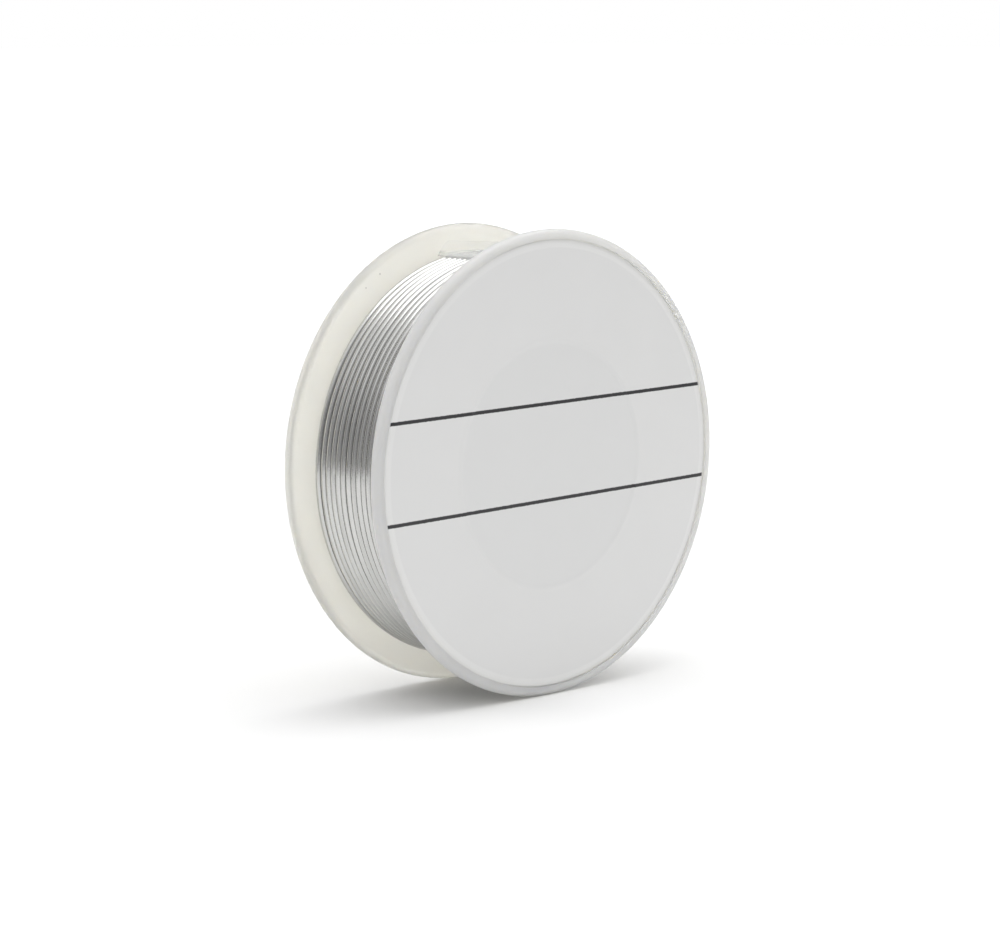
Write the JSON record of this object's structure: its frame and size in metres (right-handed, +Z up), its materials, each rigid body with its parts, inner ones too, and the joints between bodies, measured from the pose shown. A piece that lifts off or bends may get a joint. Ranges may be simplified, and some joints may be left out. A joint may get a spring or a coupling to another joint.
{
  "type": "solder wire spool",
  "caption": "Small translucent plastic spool wound full with soft solder wire, a bare round paper label on its front face and an open hub behind.",
  "frame": {"origin": "middle of the spool, on its axis, halfway between the two outer faces", "axes": "+Y along the spool's axis towards the rear flange, -Y towards the labelled face, +Z up when the spool stands on its two rims"},
  "size_m": [0.058, 0.0174, 0.058],
  "materials": {
    "translucent_plastic": "satin, milky and slightly see-through",
    "label_paper": "coated white paper with two plain black lines",
    "solder": "bright drawn soft solder",
    "flux": "amber rosin",
    "clear_tape": "clear film"
  },
  "bodies": {
    "root": {"hub_and_rear_flange": "translucent_plastic", "front_flange": "translucent_plastic", "front_label": "label_paper", "wire_layer_01": "solder", "wire_layer_02": "solder", "wire_layer_03": "solder", "wire_layer_04": "solder", "wire_layer_05": "solder", "wire_layer_06": "solder", "wire_layer_07": "solder", "wire_layer_08": "solder", "wire_layer_09": "solder", "wire_layer_10": "solder", "wire_layer_11": "solder", "wire_inner_end": "solder", "wire_outer_end": "solder", "flux_core": "flux", "wire_end_tape": "clear_tape"}
  },
  "joints": []
}
